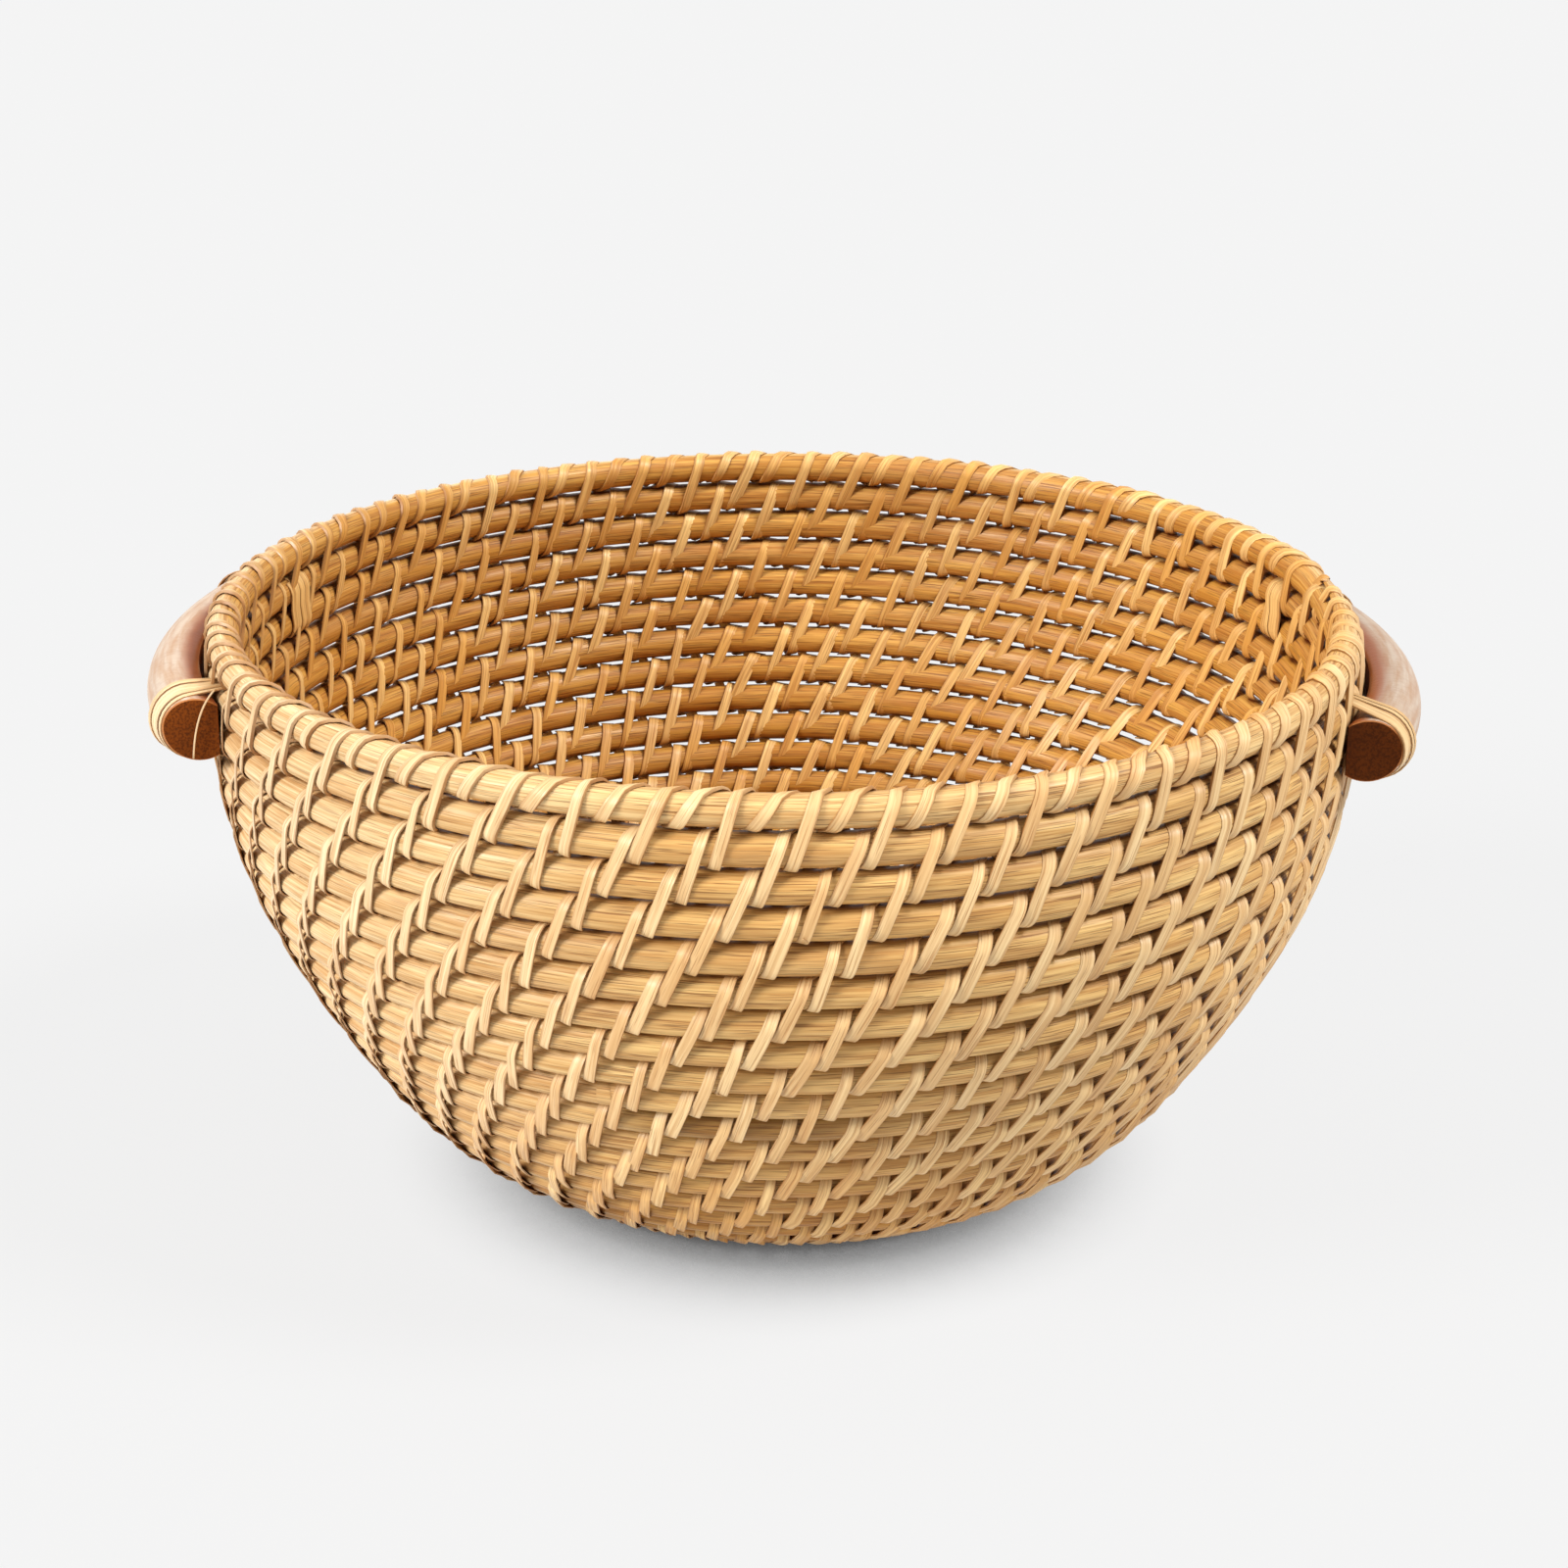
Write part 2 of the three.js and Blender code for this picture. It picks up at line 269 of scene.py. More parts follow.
def rod_tree():
    """A rod along a line of points, round but pressed a little flat, the flats turned by the points' lean.
    It stores the length along it and the place around it."""
    tree, given, made = new_tree(
        "core_rod", "GeometryNodeTree",
        [("Line", "geometry"), ("Diameter", "float"), ("Flatness", "float"), ("Sides", "int"),
         ("Material", "material")],
        [("Rod", "geometry")])
    thickness = tree.add("GeometryNodeInputNamedAttribute", {"data_type": "FLOAT"}, Name="thickness")
    line = tree.add("GeometryNodeMeshToCurve", Mesh=given.outputs["Line"])
    upright = tree.add("GeometryNodeSetCurveNormal", {"mode": "Z_UP"}, Curve=line)
    lean = tree.add("GeometryNodeInputNamedAttribute", {"data_type": "FLOAT"}, Name="lean")
    curve = tree.add("GeometryNodeSetCurveTilt", Curve=upright, Tilt=lean)
    along = tree.add("GeometryNodeSplineParameter")
    marked = tree.add("GeometryNodeStoreNamedAttribute", {"data_type": "FLOAT", "domain": "POINT"},
                      Geometry=curve, Name="along", Value=along.outputs["Length"])
    radius = tree.math("MULTIPLY", given.outputs["Diameter"], 0.5)
    ring = tree.add("GeometryNodeCurvePrimitiveCircle", Resolution=given.outputs["Sides"], Radius=radius)
    place = tree.add("GeometryNodeInputPosition")
    round_ring = tree.add("GeometryNodeStoreNamedAttribute", {"data_type": "FLOAT_VECTOR", "domain": "POINT"},
                          Geometry=ring, Name="around", Value=place)
    sides = tree.add("ShaderNodeSeparateXYZ", Vector=place)
    powers = [tree.math("POWER", tree.math("ABSOLUTE", tree.math("DIVIDE", sides.outputs[axis], radius)),
                        given.outputs["Flatness"]) for axis in "XY"]
    root = tree.math("DIVIDE", -1.0, given.outputs["Flatness"])
    press = tree.math("POWER", tree.math("ADD", *powers), root)
    pressed = tree.add("ShaderNodeVectorMath", {"operation": "SCALE"}, Vector=place, Scale=press)
    flat_ring = tree.add("GeometryNodeSetPosition", Geometry=round_ring, Position=pressed)
    tube = tree.add("GeometryNodeCurveToMesh", Curve=marked, Profile_Curve=flat_ring,
                    Scale=thickness, Fill_Caps=True)
    smooth = tree.add("GeometryNodeSetShadeSmooth", Geometry=tube)
    painted = tree.add("GeometryNodeSetMaterial", Geometry=smooth, Material=given.outputs["Material"])
    tree.feed(made, "Rod", painted)
    return tree.tree


def stitch_tree():
    """One stitch of peel at each point, laid along the row and down the wall, none quite like the next."""
    tree, given, made = new_tree(
        "binder_stitches", "GeometryNodeTree",
        [("Places", "geometry"), ("Stitch", "object"), ("Width Variation", "float"),
         ("Lean Variation", "float"), ("Seed", "int"), ("Material", "material")],
        [("Stitches", "geometry")])

    def stored(name, kind):
        return tree.add("GeometryNodeInputNamedAttribute", {"data_type": kind}, Name=name)

    def spread(amount, middle, seed):
        low = tree.math("SUBTRACT", middle, amount)
        high = tree.math("ADD", middle, amount)
        shift = tree.math("ADD", given.outputs["Seed"], float(seed))
        return tree.add("FunctionNodeRandomValue", {"data_type": "FLOAT"}, Min=low, Max=high, Seed=shift)

    rest = tree.add("FunctionNodeAxesToRotation", {"primary_axis": "Z", "secondary_axis": "X"},
                    Primary_Axis=stored("down", "FLOAT_VECTOR"),
                    Secondary_Axis=stored("along", "FLOAT_VECTOR"))
    lean = tree.add("ShaderNodeCombineXYZ", Y=spread(given.outputs["Lean Variation"], 0.0, 1))
    turned = tree.add("FunctionNodeRotateRotation", {"rotation_space": "LOCAL"},
                      Rotation=rest, Rotate_By=lean)
    size = tree.add("ShaderNodeCombineXYZ", X=spread(given.outputs["Width Variation"], 1.0, 2), Y=1.0,
                    Z=stored("reach", "FLOAT"))
    strip = tree.add("GeometryNodeObjectInfo", Object=given.outputs["Stitch"])
    laid = tree.add("GeometryNodeInstanceOnPoints", Points=given.outputs["Places"],
                    Instance=strip.outputs["Geometry"], Rotation=turned, Scale=size)
    toned = tree.add("GeometryNodeStoreNamedAttribute", {"data_type": "FLOAT", "domain": "INSTANCE"},
                     Geometry=laid, Name="tone", Value=spread(0.5, 0.5, 3))
    whole = tree.add("GeometryNodeRealizeInstances", Geometry=toned)
    painted = tree.add("GeometryNodeSetMaterial", Geometry=whole, Material=given.outputs["Material"])
    tree.feed(made, "Stitches", painted)
    return tree.tree


# Peel strips

STRIP_PROFILE = ((-1, -0.5), (-0.96, 0.4), (0, 0.5), (0.96, 0.4), (1, -0.5))


def strip_mesh(name, centres, outwards, widths, thickness, tone=None):
    """A flat peel strip with a slightly crowned face along a line, its face towards the outwards."""
    steps = len(centres)
    verts, faces, grain = [], [], []
    run = 0.0
    for i, centre in enumerate(centres):
        ahead = centres[min(i + 1, steps - 1)] - centres[max(i - 1, 0)]
        side = ahead.cross(outwards[i]).normalized()
        face = side.cross(ahead).normalized()
        run += (centre - centres[max(i - 1, 0)]).length
        for across, up in STRIP_PROFILE:
            crown = STRIP_CROWN * MM * (1 - across * across) if up > 0 else 0
            verts.append(centre + side * (across * widths[i] / 2) + face * (up * thickness + crown))
            grain.append((run, across, 0.0))
    count = len(STRIP_PROFILE)
    for i in range(steps - 1):
        for j in range(count):
            a, b = i * count + j, i * count + (j + 1) % count
            faces.append((a, b, b + count, a + count))
    faces.append(tuple(range(count)))
    faces.append(tuple(range((steps - 1) * count, steps * count)))
    mesh = bpy.data.meshes.new(name)
    mesh.from_pydata(verts, [], faces)
    shell = bmesh.new()
    shell.from_mesh(mesh)
    bmesh.ops.recalc_face_normals(shell, faces=shell.faces)
    for edge in shell.edges:
        near, far = (vert.index % count for vert in edge.verts)
        edge.smooth = near != far or near == count // 2
    shell.to_mesh(mesh)
    shell.free()
    add_attribute(mesh, "strip", "FLOAT_VECTOR", grain)
    if tone is not None:
        add_attribute(mesh, "tone", "FLOAT", [tone] * len(verts))
    mesh.shade_smooth()
    return mesh


HALF_PITCH = PITCH / 2
OUTSIDE_LEAN = 0.44
INSIDE_LEAN = 0.44
WRAP_OUTSIDE = 0.42
WRAP_INSIDE = 0.34
WRAP = ROD / 2 + STRIP_THICKNESS / 2


def arc(centre, start, end, steps, radius=WRAP):
    """Points round a rod seen along the row, as (out, down), with the face's direction. Angles count
    from outwards, a quarter turn being down."""
    line = []
    for i in range(steps + 1):
        turn = math.radians(start + (end - start) * i / steps)
        out, down = math.cos(turn), math.sin(turn)
        reach = radius * (abs(out) ** ROD_FLATNESS + abs(down) ** ROD_FLATNESS) ** (-1 / ROD_FLATNESS)
        line.append(((reach * out, centre + reach * down), (out, down)))
    return line


def leaning(line, length, outside, inside):
    """A stitch's line round the rods, leaning by these shares of the length on either face of the wall
    and making up the rest on its way through the wall."""
    low = max(down for (_, down), _ in line)
    high = min(down for (_, down), _ in line)
    slip = (1 - outside - inside) / 4
    runs = [0.0]
    for (before, _), (here, _) in zip(line, line[1:]):
        runs.append(runs[-1] + math.dist(before, here))
    half = runs[-1] / 2
    centres, outwards = [], []
    for ((out, down), (face_out, face_down)), run in zip(line, runs):
        rise = (low - down) / (low - high)
        climb = rise + (1 - abs(run - half) / half - rise) * HELIX_SHARE
        if abs(out) > 0.1:
            share = slip + outside * climb if out > 0 else 1 - slip - inside * climb
        elif rise > 0.5:
            share = 2 * slip + outside
        else:
            share = 1 if centres else 0
        centres.append(Vector(((share - slip - outside / 2) * length, out, down)) * MM)
        outwards.append(Vector((-STRIP_ROLL, face_out, face_down)).normalized())
    return centres, outwards


def stitch_object(name, line, length, outside, inside, thickness):
    centres, outwards = leaning(line, length, outside, inside)
    mesh = strip_mesh(name, centres, outwards, [STRIP_WIDTH * MM] * len(line), thickness * MM)
    return new_object(name, mesh)


def wall_stitch(length, bulge, thickness):
    """One turn of the binder round two rows: up the outside, over, and down the inside."""
    bridge = [((WRAP + bulge, 0), (1, 0))]
    back = [((-WRAP - STRIP_BULGE, 0), (-1, 0))]
    line = (arc(HALF_PITCH, 90, 8, 5) + bridge + arc(-HALF_PITCH, -8, -172, 9) + back
            + arc(HALF_PITCH, 172, 90, 5))
    return stitch_object(f"stitch_{length:.0f}", line, length, OUTSIDE_LEAN, INSIDE_LEAN, thickness)


def rim_wrap(length):
    """One turn of the strip that is wound round the rim alone, between the long stitches."""
    line = arc(0, 90, -90, 7) + arc(0, -90, -270, 7)[1:]
    return stitch_object("rim_wrap", line, length, WRAP_OUTSIDE, WRAP_INSIDE, RIM_THICKNESS)


def stitch_places(name, turns_list, rows=2):
    """Points for stitches, each over a row and the next one down or the row alone, with its directions
    and its reach."""
    places, alongs, downs, reaches = [], [], [], []
    for turns in turns_list:
        (upper, upper_share), (lower, lower_share) = coil_stop(turns), coil_stop(turns + 1)
        down = (lower - upper).normalized()
        if rows == 1:
            lower, lower_share = upper, upper_share
        top = upper - down * (ROD * MM / 2 * upper_share)
        bottom = lower + down * (ROD * MM / 2 * lower_share)
        ahead = coil_ahead(turns)
        places.append((top + bottom) / 2)
        downs.append(down)
        alongs.append((ahead - down * ahead.dot(down)).normalized())
        reaches.append((bottom - top).length / ((PITCH * (rows - 1) + ROD) * MM))
    mesh = bpy.data.meshes.new(name)
    mesh.from_pydata(places, [], [])
    add_attribute(mesh, "along", "FLOAT_VECTOR", alongs)
    add_attribute(mesh, "down", "FLOAT_VECTOR", downs)
    add_attribute(mesh, "reach", "FLOAT", reaches)
    return new_object(name, mesh)


def row_radius(row):
    return wall_section(PITCH * (row + 0.5))[0]


def row_stitches(row):
    """The turns at which a row's stitches lie: a fixed count round the wall, fewer where it gets small."""
    room = TURN * row_radius(row) / CLOSEST_STITCHES
    count = int(min(STITCHES_PER_TURN, room))
    shift = (ROW_SHIFT * row) % 1
    turns = [row + (i + shift) / count for i in range(count)]
    return [t for t in turns if t + 1 < TURNS]


# Materials

# Relief of the fibres, reach of the painted shade in gaps, and the stained length of row, in millimetres
FIBRE_RELIEF = 0.4
FIBRE_DEPTH = 0.3
CREVICE_REACH = 2.5
STAINED_ROW = 10
STAIN_START = (-55, -34)
STAIN_END = (45, 4)
STAIN_HALF = (5.0, 4.6)


def fibre_group():
    """Fine lengthwise fibres from a coordinate stretched along them: pale and dark streaks, thin dark
    lines, dark specks and a height."""
    tree, given, made = new_tree(
        "fibre_grain", "ShaderNodeTree",
        [("Coordinate", "vector"), ("Fineness", "float"), ("Specks", "float")],
        [("Streak", "float"), ("Line", "float"), ("Speck", "float"), ("Height", "float")])

    def noise(share, detail):
        scale = tree.math("MULTIPLY", given.outputs["Fineness"], share)
        return tree.add("ShaderNodeTexNoise", Vector=given.outputs["Coordinate"], Scale=scale, Detail=detail)

    fine = tree.math("MULTIPLY", noise(1.0, 3.0), 0.6)
    coarse = tree.math("MULTIPLY", noise(0.3, 2.0), 0.4)
    both = tree.math("ADD", fine, coarse)
    streak = tree.add("ShaderNodeMapRange", Value=both, From_Min=0.40, From_Max=0.60)
    line = tree.add("ShaderNodeMapRange", Value=noise(1.7, 1.0), From_Min=0.57, From_Max=0.66)
    edge = tree.math("SUBTRACT", 0.80, tree.math("MULTIPLY", given.outputs["Specks"], 0.1))
    speck = tree.add("ShaderNodeMapRange", Value=noise(0.63, 1.0), From_Min=edge, From_Max=0.84)
    tree.feed(made, "Streak", streak)
    tree.feed(made, "Line", line)
    tree.feed(made, "Speck", speck)
    tree.feed(made, "Height", tree.math("SUBTRACT", both, tree.math("MULTIPLY", line, 0.4)))
    return tree.tree


def tone_group():
    """Slow change of tone over the bowl, with masks of its rim, its left side painted paler as painted light,
    the surfaces that face into it or lie low, and the places whose gaps get painted shade."""
    tree, given, made = new_tree(
        "bowl_tone", "ShaderNodeTree", [("Scale", "float")],
        [("Patch", "float"), ("Row", "float"), ("Rim", "float"), ("Bleach", "float"), ("Inside", "float"),
         ("Stain", "float")])
    place = tree.add("ShaderNodeTexCoord")
    rows = tree.add("ShaderNodeMapping", Vector=place.outputs["Object"])
    rows.inputs["Scale"].default_value = (7, 7, 75)
    bands = tree.add("ShaderNodeTexNoise", Vector=rows, Scale=1.0, Detail=1.0)
    row = tree.add("ShaderNodeMapRange", Value=bands, From_Min=0.52, From_Max=0.72)
    patch = tree.add("ShaderNodeTexNoise", Vector=place.outputs["Object"],
                     Scale=given.outputs["Scale"], Detail=2.0)
    spread = tree.add("ShaderNodeMapRange", Value=patch, From_Min=0.33, From_Max=0.67)
    centre = tree.add("ShaderNodeVectorMath", {"operation": "SUBTRACT"})
    tree.feed(centre, 0, place.outputs["Object"])
    tree.feed(centre, 1, (0, 0, RIM_HEIGHT * MM))
    out = tree.add("ShaderNodeVectorMath", {"operation": "NORMALIZE"})
    tree.feed(out, 0, first_output(centre))
    facing = tree.add("ShaderNodeVectorMath", {"operation": "DOT_PRODUCT"})
    tree.feed(facing, 0, first_output(out))
    tree.feed(facing, 1, tree.add("ShaderNodeNewGeometry").outputs["Normal"])
    # Surfaces that face into the bowl; the materials give them warmer, darker colours as painted warm
    # interreflection and shade.
    inside = tree.add("ShaderNodeMapRange", Value=facing.outputs["Value"], From_Min=0.25, From_Max=-0.35)
    axes = tree.add("ShaderNodeSeparateXYZ", Vector=place.outputs["Object"])
    height = axes.outputs["Z"]
    # The left of the outside, painted paler and with fewer dark lines: painted light from the lamp on the
    # left.
    left = tree.add("ShaderNodeMapRange", Value=axes.outputs["X"],
                    From_Min=-0.03, From_Max=-0.15, To_Max=0.75)
    painted_left_light = tree.math("MULTIPLY", left, tree.math("SUBTRACT", 1.0, inside))
    # The low rows, which take the same warmer, darker colours towards the bottom.
    low = tree.add("ShaderNodeMapRange", Value=height, From_Min=0.085, From_Max=0.02)
    warm = tree.math("MAXIMUM", inside, low)
    # The right side, away from the lamp on the left, where the gaps get deeper painted shade.
    right = tree.add("ShaderNodeMapRange", Value=axes.outputs["X"], From_Min=0.03, From_Max=0.12, To_Max=0.9)
    top = tree.add("ShaderNodeMapRange", Value=height,
                   From_Min=(RIM_HEIGHT - 7) * MM, From_Max=(RIM_HEIGHT - 4) * MM)
    rim = tree.math("MULTIPLY", top, tree.math("SUBTRACT", 1.0, inside))
    tree.feed(made, "Patch", spread)
    tree.feed(made, "Row", row)
    tree.feed(made, "Rim", rim)
    tree.feed(made, "Bleach", painted_left_light)
    tree.feed(made, "Inside", warm)
    # Where painted shade darkens the gaps: the inward and low surfaces and the right side.
    tree.feed(made, "Stain", tree.math("MAXIMUM", warm, right))
    return tree.tree


def attribute(tree, name, output):
    return tree.add("ShaderNodeAttribute", {"attribute_name": name}).outputs[output]


def mix_colour(tree, share, first, second, blend="MIX"):
    node = tree.add("ShaderNodeMix", {"data_type": "RGBA", "blend_type": blend})
    for socket in node.inputs:
        if socket.enabled and socket.name == "Factor":
            tree.feed(node, list(node.inputs).index(socket), share)
        elif socket.enabled and socket.name in "AB":
            tree.feed(node, list(node.inputs).index(socket), first if socket.name == "A" else second)
    return first_output(node)


def srgb(red, green, blue):
    """A colour as it looks on screen, 0 to 255, as Blender's linear values."""
    def linear(value):
        value /= 255
        return value / 12.92 if value <= 0.04045 else ((value + 0.055) / 1.055) ** 2.4
    return (linear(red), linear(green), linear(blue), 1.0)


def new_material(name, roughness, specular):
    material = bpy.data.materials.new(name)
    material.use_nodes = True
    tree = Tree(material.node_tree)
    shader = material.node_tree.nodes["Principled BSDF"]
    shader.inputs["Roughness"].default_value = roughness
    shader.inputs["Specular IOR Level"].default_value = specular
    return material, tree, shader


def place_group(tree, group, **inputs):
    node = tree.add("ShaderNodeGroup", {"node_tree": group})
    for key, value in inputs.items():
        tree.feed(node, key, value)
    return node


def finish_fibre(tree, shader, colour, grain, smoothest, roughest):
    """Gives a shader its colour, with gloss and relief that follow the fibres."""
    rough = tree.add("ShaderNodeMapRange", Value=grain.outputs["Streak"], To_Min=roughest, To_Max=smoothest)
    lift = tree.add("ShaderNodeBump", Strength=FIBRE_RELIEF, Distance=FIBRE_DEPTH * MM,
                    Height=grain.outputs["Height"])
    tree.feed(shader, "Base Color", colour)
    tree.feed(shader, "Roughness", rough)
    tree.feed(shader, "Normal", lift)


def painted_crevice_shade(tree, colour, slow, strength):
    """The colour with painted shade: browned where rows and strips lie close against it, as shade falls in
    the gaps.
    """
    near = tree.add("ShaderNodeAmbientOcclusion", {"samples": 8}, Distance=CREVICE_REACH * MM)
    most = tree.math("MULTIPLY", slow.outputs["Stain"], strength)
    shut = tree.add("ShaderNodeMapRange", Value=near.outputs["AO"],
                    From_Min=0.92, From_Max=0.35, To_Max=most)
    return mix_colour(tree, first_output(shut), colour, srgb(124, 74, 30), "MULTIPLY")


def stained_length(tree):
    """1 on the length of one row on the front that is stained dark, fading out along it."""
    place = tree.add("ShaderNodeTexCoord").outputs["Object"]
    axes = tree.add("ShaderNodeSeparateXYZ", Vector=place).outputs

    def fade(value, ends):
        return tree.add("ShaderNodeMapRange", Value=value, From_Min=ends[0] * MM, From_Max=ends[1] * MM)

    height = RIM_HEIGHT - wall_section(PITCH * STAINED_ROW)[1]
    off = tree.math("ABSOLUTE", tree.math("SUBTRACT", axes["Z"], height * MM))
    length = tree.math("MULTIPLY", fade(axes["X"], STAIN_START), fade(axes["X"], STAIN_END))
    row = tree.math("MULTIPLY", fade(off, STAIN_HALF), tree.math("LESS_THAN", axes["Y"], 0.0))
    return tree.math("MULTIPLY", length, row)


def rod_material(fibre, tone):
    material, tree, shader = new_material("rattan_core", 0.5, 0.3)
    parts = tree.add("ShaderNodeSeparateXYZ", Vector=attribute(tree, "around", "Vector"))
    length = tree.math("MULTIPLY", attribute(tree, "along", "Fac"), 0.022)
    line = tree.add("ShaderNodeCombineXYZ", X=parts.outputs["X"], Y=parts.outputs["Y"], Z=length)
    grain = place_group(tree, fibre, Coordinate=line, Fineness=1800.0, Specks=0.5)
    slow = place_group(tree, tone, Scale=22.0)
    # Surfaces facing into the bowl and the low rows take the warm colours and the darker streak colour:
    # painted warm interreflection and shade inside, and darker, warmer towards the bottom.
    pale = mix_colour(tree, slow.outputs["Patch"], srgb(232, 194, 126), srgb(217, 172, 104))
    warm = mix_colour(tree, slow.outputs["Patch"], srgb(216, 165, 84), srgb(197, 139, 57))
    plain = mix_colour(tree, slow.outputs["Inside"], pale, warm)
    rowed = mix_colour(tree, tree.math("MULTIPLY", slow.outputs["Row"], 0.6), plain, srgb(188, 138, 82))
    rimmed = mix_colour(tree, tree.math("MULTIPLY", slow.outputs["Rim"], 0.8), rowed, srgb(232, 196, 136))
    # The left of the outside is painted paler, and its dark lines fainter: painted light from the lamp on the
    # left.
    ground = mix_colour(tree, slow.outputs["Bleach"], rimmed, srgb(238, 212, 168))
    dark = mix_colour(tree, slow.outputs["Inside"], srgb(182, 128, 66), srgb(166, 102, 34))
    shade = tree.math("MULTIPLY", tree.math("SUBTRACT", 1.0, grain.outputs["Streak"]), 0.78)
    streaked = mix_colour(tree, shade, ground, dark)
    clear = tree.math("SUBTRACT", 0.68, tree.math("MULTIPLY", slow.outputs["Bleach"], 0.45))
    lined = mix_colour(tree, tree.math("MULTIPLY", grain.outputs["Line"], clear), streaked, srgb(110, 64, 24))
    colour = mix_colour(tree, tree.math("MULTIPLY", grain.outputs["Speck"], 0.7), lined, srgb(96, 54, 20))
    stained = mix_colour(tree, first_output(stained_length(tree)), colour, srgb(188, 173, 142), "MULTIPLY")
    # Painted shade browns the gaps beside the strips and between the rows.
    finish_fibre(tree, shader, painted_crevice_shade(tree, stained, slow, 1.0), grain, 0.33, 0.55)
    return material


def peel_material(fibre, tone):
    material, tree, shader = new_material("rattan_peel", 0.45, 0.3)
    strip = tree.add("ShaderNodeSeparateXYZ", Vector=attribute(tree, "strip", "Vector"))
    own = attribute(tree, "tone", "Fac")
    line = tree.add("ShaderNodeCombineXYZ", X=tree.math("MULTIPLY", strip.outputs["X"], 0.03),
                    Y=tree.math("MULTIPLY", strip.outputs["Y"], 0.002), Z=own)
    grain = place_group(tree, fibre, Coordinate=line, Fineness=1300.0, Specks=0.2)
    slow = place_group(tree, tone, Scale=30.0)
    # Surfaces facing into the bowl and the low rows take the warm colours and the darker streak colour:
    # painted warm interreflection and shade inside, and darker, warmer towards the bottom.
    pale = mix_colour(tree, own, srgb(238, 208, 156), srgb(223, 183, 127))
    warm = mix_colour(tree, own, srgb(244, 206, 136), srgb(220, 164, 84))
    plain = mix_colour(tree, slow.outputs["Inside"], pale, warm)
    # The left of the outside is painted paler: painted light from the lamp on the left.
    ground = mix_colour(tree, slow.outputs["Bleach"], plain, srgb(242, 218, 178))
    dark = mix_colour(tree, slow.outputs["Inside"], srgb(192, 140, 82), srgb(172, 106, 36))
    shade = tree.math("MULTIPLY", tree.math("SUBTRACT", 1.0, grain.outputs["Streak"]), 0.6)
    streaked = mix_colour(tree, shade, ground, dark)
    lined = mix_colour(tree, tree.math("MULTIPLY", grain.outputs["Line"], 0.5), streaked, srgb(156, 100, 46))
    # The strip's edges are darkened: partly the cut sides' own darker colour, partly painted shade of the
    # gaps along them.
    edge = tree.math("POWER", tree.math("ABSOLUTE", strip.outputs["Y"]), 8.0)
    colour = mix_colour(tree, tree.math("MULTIPLY", edge, 0.65), lined, srgb(146, 90, 38))
    # Painted shade browns the strip where it lies close against rods and other strips.
    finish_fibre(tree, shader, painted_crevice_shade(tree, colour, slow, 0.6), grain, 0.34, 0.52)
    return material


def bark_material():
    material, tree, shader = new_material("rattan_bark", 0.4, 0.35)
    pole = attribute(tree, "pole", "Vector")
    stretched = tree.add("ShaderNodeMapping", Vector=pole)
    stretched.inputs["Scale"].default_value = (1, 0.35, 0)
    crackle = tree.add("ShaderNodeTexVoronoi", {"feature": "DISTANCE_TO_EDGE"}, Vector=stretched, Scale=420.0)
    crack = tree.add("ShaderNodeMapRange", Value=crackle, From_Min=0.0, From_Max=0.1, To_Min=1.0, To_Max=0.0)
    long_marks = tree.add("ShaderNodeMapping", Vector=pole)
    long_marks.inputs["Scale"].default_value = (0.12, 1, 0)
    cloud = tree.add("ShaderNodeTexNoise", Vector=long_marks, Scale=420.0, Detail=4.0)
    blush = tree.add("ShaderNodeMapRange", Value=cloud, From_Min=0.38, From_Max=0.62)
    ground = mix_colour(tree, first_output(blush), srgb(198, 178, 157), srgb(182, 146, 115))
    cracked = mix_colour(tree, tree.math("MULTIPLY", crack, 0.22), ground, srgb(160, 112, 88))
    # The face shaved flat towards the wall is darker brown: partly the cut wood's own colour, partly painted
    # shade of the narrow gap against the wall.
    towards_wall = tree.add("ShaderNodeSeparateXYZ", Vector=pole).outputs["Z"]
    shaved = tree.add("ShaderNodeMapRange", {"interpolation_type": "SMOOTHSTEP"}, Value=towards_wall,
                      From_Min=0.66, From_Max=0.88)
    colour = mix_colour(tree, first_output(shaved), cracked, srgb(160, 88, 42))
    lift = tree.add("ShaderNodeBump", Strength=0.12, Distance=0.0002,
                    Height=tree.math("SUBTRACT", 1.0, crack))
    tree.feed(shader, "Base Color", colour)
    tree.feed(shader, "Normal", lift)
    return material


def cut_edge_material():
    material, _, shader = new_material("rattan_cut_edge", 0.6, 0.3)
    shader.inputs["Base Color"].default_value = srgb(176, 108, 52)
    return material


def sawn_material():
    material, tree, shader = new_material("rattan_sawn", 0.75, 0.08)
    place = tree.add("ShaderNodeTexCoord").outputs["Object"]
    pores = tree.add("ShaderNodeTexNoise", Vector=place, Scale=1300.0, Detail=2.0)
    cloud = tree.add("ShaderNodeTexNoise", Vector=place, Scale=70.0, Detail=3.0)
    ground = mix_colour(tree, first_output(cloud), srgb(88, 38, 5), srgb(136, 68, 14))
    dots = tree.add("ShaderNodeMapRange", Value=pores, From_Min=0.42, From_Max=0.62)
    pored = mix_colour(tree, tree.math("MULTIPLY", dots, 0.7), ground, srgb(66, 30, 6))
    # The right handle's sawn ends are darker: painted shade, the lamp being on the left.
    side = tree.add("ShaderNodeMapRange", Value=tree.add("ShaderNodeSeparateXYZ", Vector=place).outputs["X"],
                    From_Min=-0.1, From_Max=0.1, To_Max=0.5)
    colour = mix_colour(tree, first_output(side), pored, srgb(58, 24, 6))
    lift = tree.add("ShaderNodeBump", Strength=0.3, Distance=0.0003, Height=pores)
    tree.feed(shader, "Base Color", colour)
    tree.feed(shader, "Normal", lift)
    return material


# Handles and lashings

